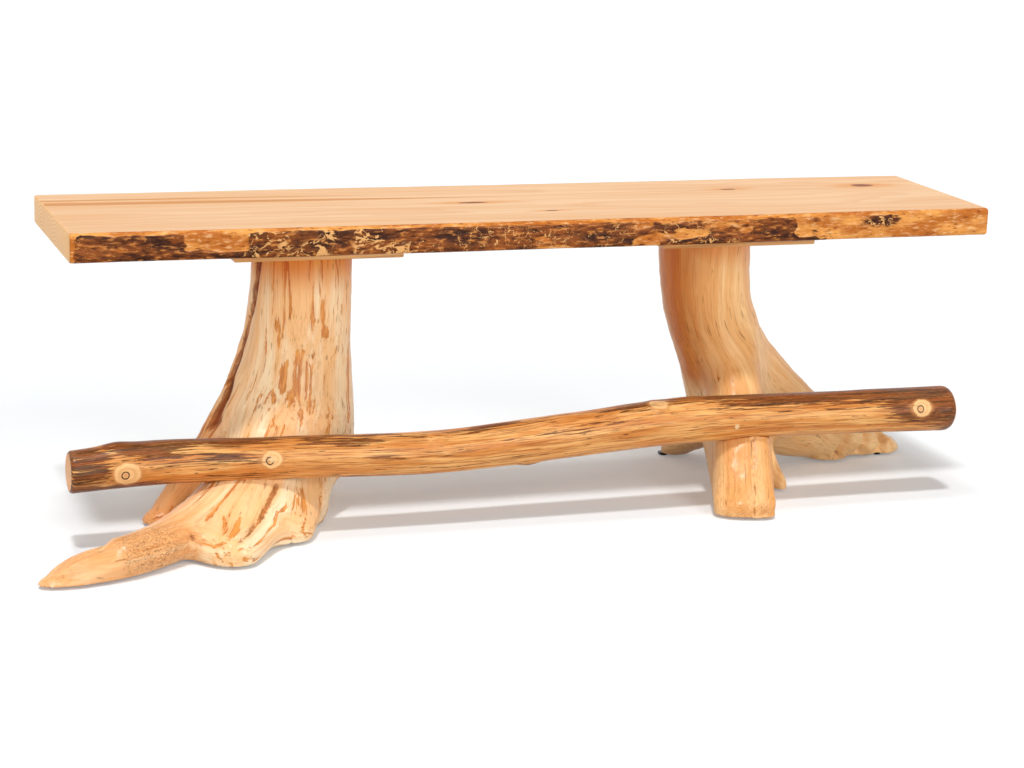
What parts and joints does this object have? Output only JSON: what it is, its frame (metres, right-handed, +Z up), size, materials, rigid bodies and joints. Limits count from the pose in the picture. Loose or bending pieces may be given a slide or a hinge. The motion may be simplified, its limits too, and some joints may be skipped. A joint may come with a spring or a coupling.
{
  "type": "rustic log bench",
  "caption": "Long backless bench: a live-edge plank seat on flared root stumps, tied across the front by a bent peeled log that lies in saddles cut in the stumps.",
  "frame": {"origin": "on the floor, at the middle of the bench's whole outline seen from above", "axes": "+X along the seat towards the sitter's left, -Y to the front where the log lies, +Z up"},
  "size_m": [1.605, 0.5327, 0.483],
  "materials": {
    "seat_wood": "clear satin varnish over flat-sawn pine, with dark inner bark left on the live edges",
    "stump_wood": "clear gloss varnish over peeled sapwood, with orange and brown streaks",
    "log_wood": "clear gloss varnish over a skip-peeled log, with dark inner bark and knots",
    "cleat_wood": "planed softwood, clear satin varnish",
    "dowel_wood": "plain hardwood dowel",
    "plug_wood": "pale end-grain plug, clear varnish",
    "screw_steel": "zinc-plated steel",
    "glide_plastic": "dark brown moulded plastic, shiny"
  },
  "bodies": {
    "root": {"back_seat_board": "seat_wood", "front_seat_board": "seat_wood", "left_cleat": "cleat_wood", "left_cleat_screws": "screw_steel", "left_glide_nails": "screw_steel", "left_glides": "glide_plastic", "left_stretcher_plug": "plug_wood", "left_stretcher_screw": "screw_steel", "left_stump": "stump_wood", "left_stump_lags": "screw_steel", "left_stump_washers": "screw_steel", "right_cleat": "cleat_wood", "right_cleat_screws": "screw_steel", "right_glide_nails": "screw_steel", "right_glides": "glide_plastic", "right_stretcher_plug": "plug_wood", "right_stretcher_screw": "screw_steel", "right_stump": "stump_wood", "right_stump_lags": "screw_steel", "right_stump_washers": "screw_steel", "seat_joint_dowels": "dowel_wood", "stretcher_log": "log_wood"}
  },
  "joints": []
}
